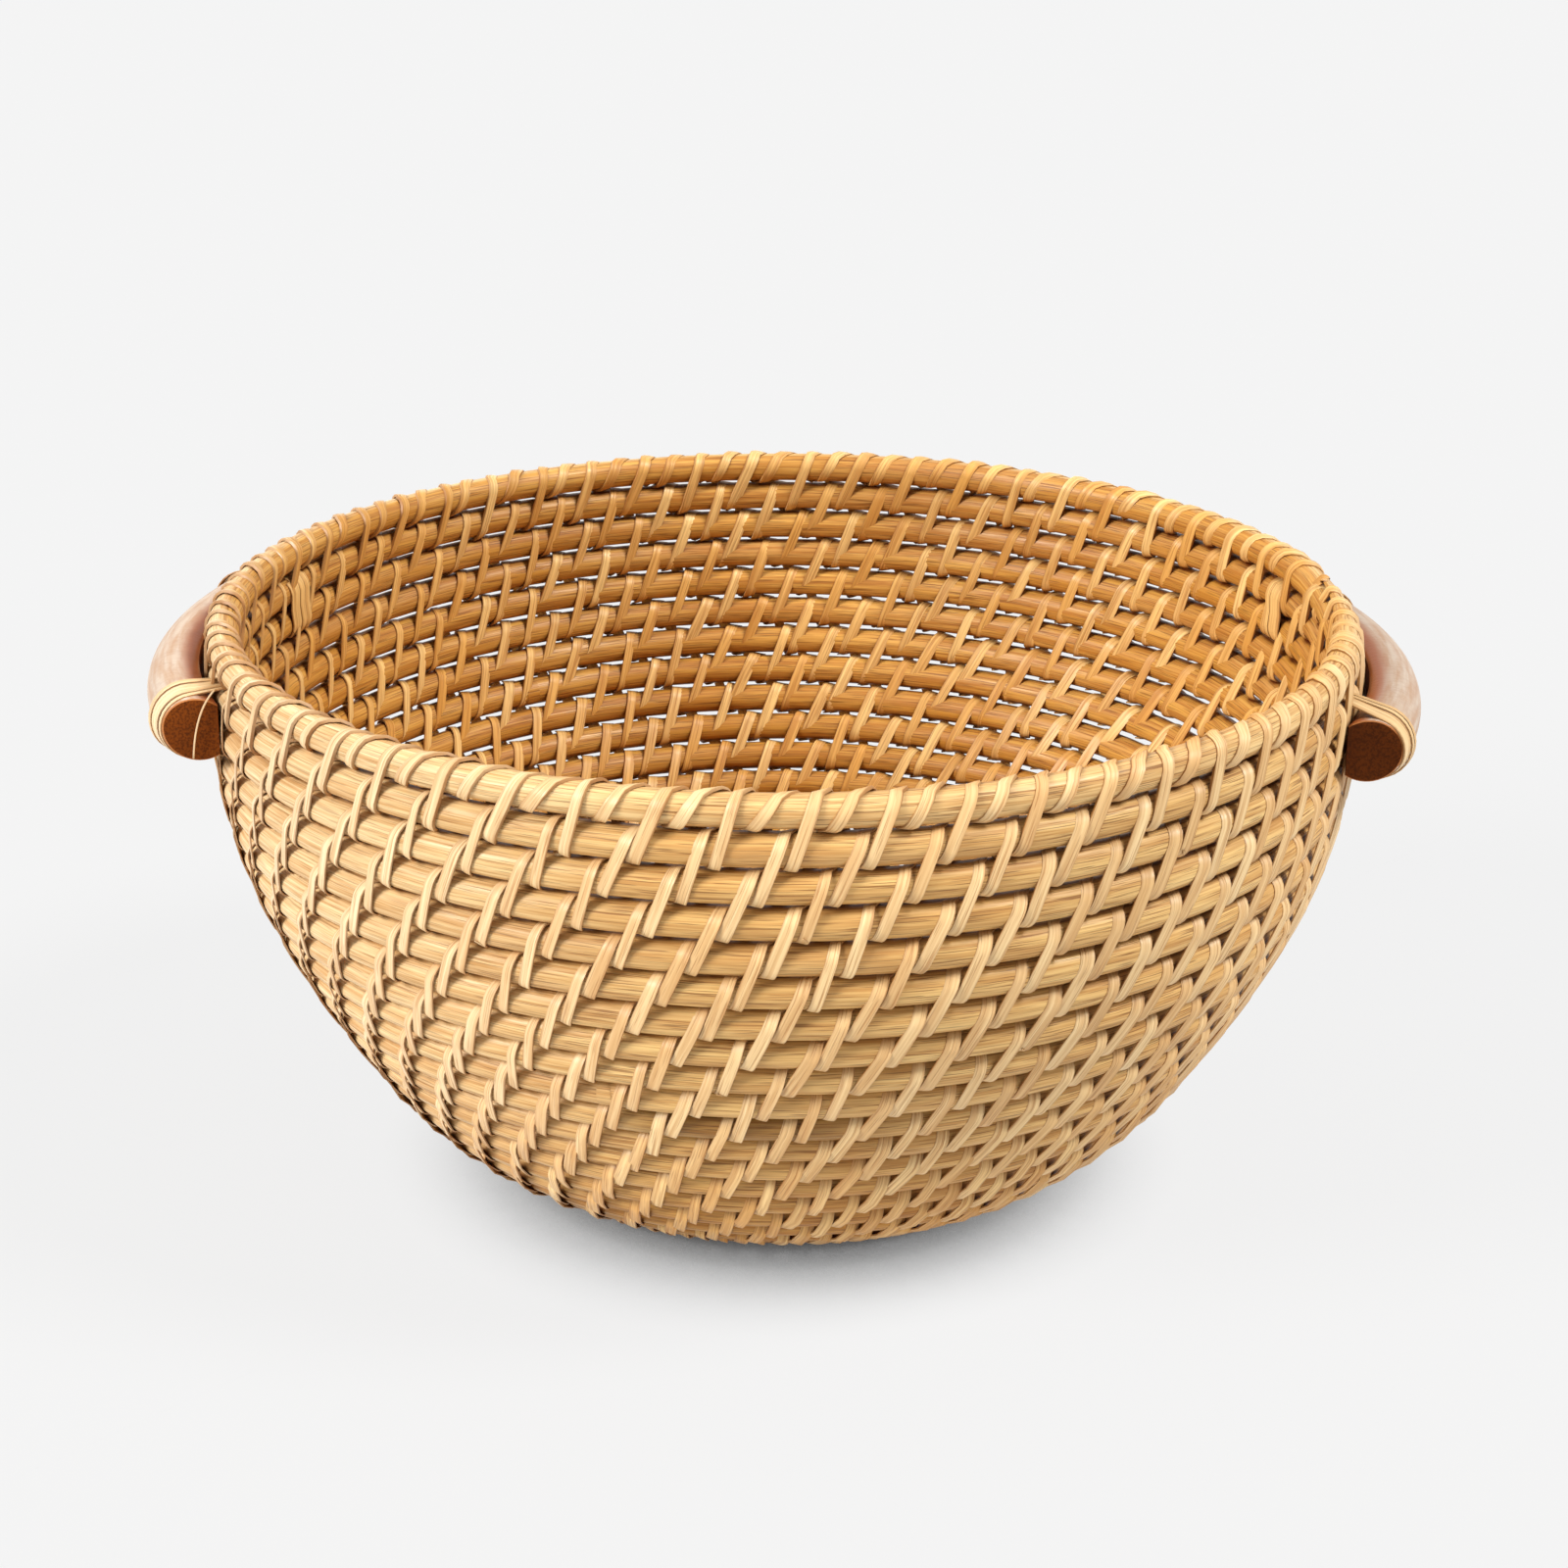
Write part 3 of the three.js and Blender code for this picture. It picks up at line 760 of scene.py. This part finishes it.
WIDEST = max(wall_section(s)[0] for s in range(WALL_ARCS[0][0]))
WALL_OUTER = WIDEST + WALL_HALF
POLE_OFFSET = HANDLE_RADIUS - HANDLE_FLAT
FLAT_X = WALL_OUTER + SEAT + HANDLE_GAP
END_X = math.sqrt((WALL_OUTER - SEAT) ** 2 - HANDLE_HALF_SPAN ** 2)
BOW = FLAT_X - END_X
FLAT_RADIUS = (HANDLE_HALF_SPAN ** 2 + BOW ** 2) / (2 * BOW)
BOW_X = FLAT_X - FLAT_RADIUS
FLAT_TURN = math.acos(-POLE_OFFSET / HANDLE_RADIUS)
HANDLE_STEPS = 56
HANDLE_SIDES = 36
EDGE = 0.35
END_TAPER = 0.4
TAPER_LENGTH = 10


def taper(to_end):
    """How much thinner the pole is whittled, so far from its end, for the lashing to hold."""
    return END_TAPER * ease(1 - to_end / TAPER_LENGTH)


def handle_point(share, turn, inset=0.0):
    """A point of the right handle's round side, in millimetres, its middle at height 0."""
    radius = HANDLE_RADIUS - inset - taper(HANDLE_HALF_SPAN * (1 - abs(share)))
    reach = FLAT_RADIUS + POLE_OFFSET + max(radius * math.cos(turn), -POLE_OFFSET + inset)
    swing = share * math.asin(HANDLE_HALF_SPAN / reach)
    return Vector((BOW_X + reach * math.cos(swing), reach * math.sin(swing), radius * math.sin(turn)))


def handle_piece(side, bark, sawn, cut):
    """A bent pole with its bark on, flat towards the wall, its sawn ends with a worn edge."""
    spin = Matrix.Rotation(HANDLE_SWING[side] + (0 if side == "right" else math.pi), 3, "Z")
    rise = Vector((0, 0, RIM_HEIGHT - HANDLE_DROP[side]))
    turns = [FLAT_TURN * (1 - 2 * i / HANDLE_SIDES) for i in range(HANDLE_SIDES + 1)]
    edge_share = 1 - EDGE / HANDLE_HALF_SPAN
    middle = [(edge_share * (2 * i / HANDLE_STEPS - 1), 0) for i in range(HANDLE_STEPS + 1)]
    rings = [(-1, EDGE)] + middle + [(1, EDGE)]
    mesh = bpy.data.meshes.new(f"{side}_handle_pole")
    shell = bmesh.new()
    grid = [[shell.verts.new(spin @ (handle_point(share, turn, inset) + rise) * MM) for turn in turns]
            for share, inset in rings]
    for ring, (near, far) in enumerate(zip(grid, grid[1:])):
        for i in range(HANDLE_SIDES + 1):
            j = (i + 1) % (HANDLE_SIDES + 1)
            face = shell.faces.new((near[i], near[j], far[j], far[i]))
            face.material_index = 1 if i == HANDLE_SIDES else 2 if ring in (0, len(grid) - 2) else 0
            face.smooth = i != HANDLE_SIDES
    for ring in (grid[0], grid[-1]):
        shell.faces.new(ring).material_index = 1
    bmesh.ops.recalc_face_normals(shell, faces=shell.faces)
    shell.to_mesh(mesh)
    shell.free()
    add_attribute(mesh, "pole", "FLOAT_VECTOR",
                  [(share * HANDLE_HALF_SPAN * MM, turn * HANDLE_RADIUS * MM, abs(turn) / FLAT_TURN)
                   for share, _ in rings for turn in turns])
    for material in (bark, sawn, cut):
        mesh.materials.append(material)
    return new_object(mesh.name, mesh)


LASHING_WIDTHS = {"right": (5.4, 1.5, 1.5), "left": (1.6, 5.2, 2.2)}
LASHING_SPACES = {"right": (-0.7, 0.9, 0.3), "left": (0.2, 0.15, 0.9)}
LASHING_TILT = 0.17
LASHING_STEPS = 16
LASHING_TONE = 0.25
LAST_WIDTH = 3.0
LAST_SPACE = 0.3
FIBRE_BENDS = ((-166.5, -67.5, 178.4), (-172.6, -69.5, 172.5), (-174.0, -68.6, 157.0))
LASHING_LIFTS = {"right": (0.25, 1.0, 1.1), "left": (0.05, 0.5, 1.25)}
LASHING_INSIDE = (3.0, 3.6, 3.6, 3.0)
LASHING_GAPS = (0.5, 2.5)
INSIDE_RISES = ((0.12, 0.7), (0.3, 0.93), (0.5, 1.03), (1.0, 0.97), (1.5, 1.03), (1.7, 0.93),
                (1.88, 0.7))


def lashing_line(angle, height, radius):
    """The lashing's loop in the upright plane at an angle from the handle's middle, as (reach, height)
    and the face's direction: up the inside, out over the handle, round it and back in."""
    def wall(depth, out):
        point = wall_point(0, depth * PITCH, out) / MM
        return Vector((point.x, point.z))

    above, below = wall(LASHING_GAPS[0], 0), wall(LASHING_GAPS[1], 0)
    out = ROD / 2 + STRIP_THICKNESS
    reach = FLAT_RADIUS + POLE_OFFSET
    across = math.sin(angle) * BOW_X
    pole = Vector((BOW_X * math.cos(angle) + math.sqrt(reach ** 2 - across ** 2), height))
    wrap = radius + STRIP_THICKNESS / 2

    def touch(point, way):
        gap = point - pole
        return math.atan2(gap.y, gap.x) - way * math.acos(wrap / gap.length)

    first, last = touch(above, 1), touch(below, -1)
    line = [(below, Vector((0, -1)))]
    for rise, bulge in INSIDE_RISES:
        line.append((wall(LASHING_GAPS[1] - rise, -out * bulge), Vector((-1, 0))))
    line += [(above, Vector((0, 1)))]
    for i in range(LASHING_STEPS + 1):
        turn = first + (last - first) * i / LASHING_STEPS
        face = Vector((math.cos(turn), math.sin(turn)))
        line.append((pole + face * wrap, face))
    return line


def lashing_piece(side, end, peel):
    """One strip wound round a handle's end and the two rows behind it, some turns wider than others."""
    base = HANDLE_SWING[side] + (0 if side == "right" else math.pi)
    way = (1 if end == "back" else -1) * (1 if side == "right" else -1)
    height = RIM_HEIGHT - HANDLE_DROP[side]
    end_swing = math.asin(HANDLE_HALF_SPAN / (WALL_OUTER + HANDLE_RADIUS))
    inside_first, inside_last = 1, len(INSIDE_RISES)
    centres, outwards, widths = [], [], []
    loops = len(LASHING_WIDTHS[side])
    loop_widths = LASHING_WIDTHS[side] + (LAST_WIDTH, LAST_WIDTH)
    spaces = LASHING_SPACES[side] + (LAST_SPACE, LAST_SPACE)
    lifts = LASHING_LIFTS[side] + (0.0, 0.0)
    middle = spaces[0]
    for loop in range(loops + 1):
        width, following, space = loop_widths[loop], loop_widths[loop + 1], spaces[loop + 1]
        middle += width / 2
        step = (width + following) / 2 + space
        stops = len(lashing_line(end_swing, height, HANDLE_RADIUS))
        for i in range(stops) if loop < loops else range(inside_first, inside_last + 1):
            to_end = middle + step * i / stops
            swing = end_swing - to_end / (WALL_OUTER + HANDLE_RADIUS)
            lift = lifts[loop] + (lifts[loop + 1] - lifts[loop]) * ease(i / stops * 4 - 3)
            point, face = lashing_line(swing, height, HANDLE_RADIUS - taper(to_end) + lift)[i]
            angle = base + way * swing
            outward = Vector((math.cos(angle), math.sin(angle), 0))
            inside = inside_first <= i <= inside_last
            slope = 0 if i <= inside_last + 1 else LASHING_TILT
            centres.append((outward * point.x + Vector((0, 0, point.y))) * MM)
            endward = Vector((-math.sin(angle), math.cos(angle), 0)) * way
            outwards.append(outward * face.x + Vector((0, 0, face.y)) + endward * slope)
            widths.append((LASHING_INSIDE[loop] if inside else width) * MM)
        middle += width / 2 + space
    name = f"{side}_{end}_lashing"
    mesh = strip_mesh(name, centres, outwards, widths, STRIP_THICKNESS * MM, LASHING_TONE)
    mesh.materials.append(peel)
    return new_object(mesh.name, mesh)


# The bowl

fibre = fibre_group()
tone = tone_group()
core = rod_material(fibre, tone)
peel = peel_material(fibre, tone)
bark = bark_material()
sawn = sawn_material()
cut = cut_edge_material()


def keep(piece, slot, *nodes):
    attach(piece, "root")
    if nodes:
        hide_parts(*nodes)


def make_rods():
    """The coil from the middle of the base to the rim's end, cut into rods of equal length."""
    start = TURNS + START_CURL
    count = int((start + RIM_CLIMB * TAIL_SHARE) * STOPS_PER_TURN) + 1
    stops = [start - i / STOPS_PER_TURN for i in range(count)]
    places = [coil_stop(turns) for turns in stops]
    lengths = [0.0]
    for (before, _), (here, _) in zip(places, places[1:]):
        lengths.append(lengths[-1] + (here - before).length)
    tree = rod_tree()
    for rod in range(ROD_COUNT):
        low, high = (lengths[-1] * (rod + end) / ROD_COUNT for end in (0, 1))
        first = max(i for i, length in enumerate(lengths) if length <= low)
        last = min(i for i, length in enumerate(lengths) if length >= high - 1e-9)
        chosen = range(first, last + 1)
        mesh = bpy.data.meshes.new(f"rod_{rod + 1}_line")
        mesh.from_pydata([places[i][0] for i in chosen], [(i, i + 1) for i in range(len(chosen) - 1)], [])
        add_attribute(mesh, "thickness", "FLOAT", [places[i][1] for i in chosen])
        add_attribute(mesh, "lean", "FLOAT", [coil_lean(stops[i]) for i in chosen])
        piece = grow(new_object(f"round_rod_{rod + 1}", mesh), tree, diameter=ROD * MM,
                     flatness=ROD_FLATNESS, sides=ROD_SIDES, material=core)
        keep(piece, "rattan_core", f"core_rod_{rod + 1}")


def make_binder():
    """Every stitch of the binder, in pieces from the rim down to the base."""
    tree = stitch_tree()
    rows = int(TURNS - 1)
    bands = {"rim_binder": range(0, 1), "upper_wall_binder": range(1, 8),
             "middle_wall_binder": range(8, 13), "lower_wall_binder": range(13, 17),
             "base_binder": range(17, rows + 1)}
    for seed, (name, band) in enumerate(bands.items()):
        turns = [t for row in band for t in row_stitches(row)]
        length = max(CLOSEST_STITCHES, TURN * row_radius(sum(band) / len(band)) / STITCHES_PER_TURN)
        bulge = LOOSE_BULGE if name == "lower_wall_binder" else STRIP_BULGE
        thickness = RIM_THICKNESS if name == "rim_binder" else STRIP_THICKNESS
        lay_stitches(name, stitch_places(name, turns), wall_stitch(length, bulge, thickness), tree, seed)
    turns = [t + 0.5 / STITCHES_PER_TURN for t in row_stitches(0) if t < 1 - RIM_CLIMB]
    places = stitch_places("rim_wraps", turns, 1)
    lay_stitches("rim_wraps", places, rim_wrap(length_at_rim()), tree, len(bands))


def make_tail_stitches():
    """The stitches over the coil's thinned end, each fitted round the two rods it holds together."""
    shell = bmesh.new()
    for i in range(TAIL_STITCHES):
        turns = -RIM_CLIMB * TAIL_STITCH_SHARE * (i + TAIL_STITCH_START) / TAIL_STITCHES
        (upper, upper_share), (lower, lower_share) = coil_stop(turns), coil_stop(turns + 1)
        gap = (lower - upper).length / MM
        small, large = (ROD / 2 * share + STRIP_THICKNESS / 2 for share in (upper_share, lower_share))
        slant = math.degrees(math.asin(max(-1, min(1, (large - small) / gap))))
        line = (arc(gap / 2, 90, -slant, 4, large) + arc(-gap / 2, -slant, slant - 180, 6, small)
                + arc(gap / 2, 180 + slant, 90, 4, large))
        centres, outwards = leaning(line, length_at_rim(), OUTSIDE_LEAN, INSIDE_LEAN)
        down = (lower - upper).normalized()
        ahead = coil_ahead(turns)
        along = (ahead - down * ahead.dot(down)).normalized()
        lay = Matrix((along, down.cross(along), down)).transposed()
        middle = (upper + lower) / 2
        mesh = strip_mesh("tail_stitch", [middle + lay @ c for c in centres], [lay @ o for o in outwards],
                          [STRIP_WIDTH * MM] * len(line), STRIP_THICKNESS * MM, (i * TAIL_TONE_STEP) % 1)
        shell.from_mesh(mesh)
        bpy.data.meshes.remove(mesh)
    mesh = bpy.data.meshes.new("tail_stitches")
    shell.to_mesh(mesh)
    shell.free()
    mesh.materials.append(peel)
    keep(new_object("tail_stitches", mesh), "rattan_peel")


def make_loose_ends():
    """Short ends of peel that stand out where a stitch goes in, and one long fibre hanging in front of
    the left handle's end."""
    turns = []
    for row in LOOSE_ROWS:
        turns += [t for i, t in enumerate(row_stitches(row)) if (i * 7 + row * 11) % LOOSE_EVERY == 0]
    centres = [Vector((-2.0 - 0.5 * i, WRAP - 0.7 + 0.35 * i, HALF_PITCH + 3.4 - 0.5 * i)) * MM
               for i in range(len(LOOSE_WIDTHS))]
    mesh = strip_mesh("loose_end", centres, [Vector((0, 1, 0.5))] * len(centres),
                      [width * MM for width in LOOSE_WIDTHS], LOOSE_THICKNESS * MM)
    places = stitch_places("loose_ends", turns)
    lay_stitches("loose_ends", places, new_object("loose_end", mesh), stitch_tree(), LOOSE_SEED)
    bends = [Vector(point) for point in FIBRE_BENDS]
    stops = [i / FIBRE_STEPS for i in range(FIBRE_STEPS + 1)]
    path = [(bends[0] * (1 - s) ** 2 + bends[1] * 2 * s * (1 - s) + bends[2] * s * s) * MM for s in stops]
    mesh = strip_mesh("hanging_fibre", path, [Vector((-0.3, -1, 0))] * len(path),
                      [FIBRE_WIDTH * MM] * len(path), LOOSE_THICKNESS * MM, FIBRE_TONE)
    mesh.materials.append(peel)
    keep(new_object("hanging_fibre", mesh), "rattan_peel")


def length_at_rim():
    return TURN * row_radius(0) / STITCHES_PER_TURN


def lay_stitches(name, places, stitch, tree, seed):
    piece = grow(places, tree, stitch=stitch, width_variation=WIDTH_VARIATION,
                 lean_variation=LEAN_VARIATION, seed=seed * 10 + 7, material=peel)
    bpy.data.objects.remove(stitch)
    keep(piece, "rattan_peel")


make_rods()
make_binder()
make_tail_stitches()
make_loose_ends()
for side in ("right", "left"):
    keep(handle_piece(side, bark, sawn, cut), "rattan_pole", f"handle_{side}")
    for end in ("front", "back"):
        keep(lashing_piece(side, end, peel), "rattan_peel", f"lashing_{side}_{end}")


# Floor, light and camera

FLOOR_HALF = 8
FLOOR_GREY = 0.62
FLOOR_SHOWN = 0.92
SHADOW_REACH = 30
SHADOW_FALL = 0.025
SHADOW_OFFSET = 0.06
SHADOW_DARK = 0.03
FLOOR_PALE = 0.893
WORLD_LIGHT = 0.3
WORLD_SHOWN = 0.9
SENSOR_WIDTH = 36


def seen_share(tree):
    """1 where the camera, a reflection or glass looks at the background, 0 for the light it gives."""
    path = tree.add("ShaderNodeLightPath")
    mirrored = tree.math("MAXIMUM", path.outputs["Is Glossy Ray"], path.outputs["Is Transmission Ray"])
    return tree.math("MAXIMUM", path.outputs["Is Camera Ray"], mirrored)


def make_floor():
    mesh = bpy.data.meshes.new("floor")
    corners = [(x * FLOOR_HALF, y * FLOOR_HALF, 0) for x, y in ((-1, -1), (1, -1), (1, 1), (-1, 1))]
    mesh.from_pydata(corners, [], [(0, 1, 2, 3)])
    material, tree, shader = new_material("pale_floor", 0.9, 0.0)
    shader.inputs["Base Color"].default_value = (FLOOR_GREY, FLOOR_GREY, FLOOR_GREY, 1)
    near = tree.add("ShaderNodeAmbientOcclusion", {"samples": 16}, Distance=SHADOW_REACH * MM)
    closed = tree.math("POWER", SHADOW_FALL, tree.math("SUBTRACT", near.outputs["AO"], SHADOW_OFFSET))
    shade = tree.add("ShaderNodeMapRange", Value=closed, From_Min=1.0, From_Max=0.031,
                     To_Min=SHADOW_DARK, To_Max=FLOOR_PALE)
    glow = tree.add("ShaderNodeEmission", Color=(1, 1, 1, 1), Strength=shade)
    seen = tree.math("MULTIPLY", seen_share(tree), FLOOR_SHOWN)
    both = tree.add("ShaderNodeMixShader")
    tree.feed(both, 0, seen)
    tree.feed(both, 1, shader.outputs["BSDF"])
    tree.feed(both, 2, glow.outputs["Emission"])
    tree.feed(material.node_tree.nodes["Material Output"], "Surface", both)
    mesh.materials.append(material)
    floor = new_object("floor", mesh)


# Each lamp's name, strength, angle across in degrees and the way to it
LAMPS = (("key", 3.58, 24, (-1.65, -0.85, 1.0)), ("fill", 2.95, 18, (1.5, -0.5, 1.9)),
         ("top", 0.45, 40, (0, 0.1, 1)))


def make_light():
    world = bpy.data.worlds.new("studio")
    world.use_nodes = True
    tree = Tree(world.node_tree)
    ground = world.node_tree.nodes["Background"]
    ground.inputs["Color"].default_value = (1, 1, 1, 1)
    strength = tree.add("ShaderNodeMapRange", Value=seen_share(tree), To_Min=WORLD_LIGHT, To_Max=WORLD_SHOWN)
    tree.feed(ground, "Strength", strength)
    bpy.context.scene.world = world
    for name, strength, angle, place in LAMPS:
        lamp = bpy.data.lights.new(name, "SUN")
        lamp.energy = strength
        lamp.angle = math.radians(angle)
        holder = bpy.data.objects.new(name, lamp)
        holder.rotation_euler = Vector(place).to_track_quat("Z", "Y").to_euler()
        bpy.context.scene.collection.objects.link(holder)


def make_camera():
    lens = bpy.data.cameras.new("camera")
    lens.lens = CAMERA_LENS
    lens.sensor_width = SENSOR_WIDTH
    lens.clip_start = 0.01
    camera = bpy.data.objects.new("camera", lens)
    away = Vector((0, -math.cos(CAMERA_ELEVATION), math.sin(CAMERA_ELEVATION)))
    aim = Vector((0, 0, (RIM_HEIGHT - AIM_BELOW_RIM) * MM))
    look = away.to_track_quat("Z", "Y").to_matrix() @ Matrix.Rotation(CAMERA_ROLL, 3, "Z")
    camera.matrix_world = Matrix.Translation(aim + away * CAMERA_DISTANCE) @ look.to_4x4()
    bpy.context.scene.collection.objects.link(camera)
    bpy.context.scene.camera = camera


make_floor()
make_light()
make_camera()
bpy.context.scene.view_settings.view_transform = "Standard"
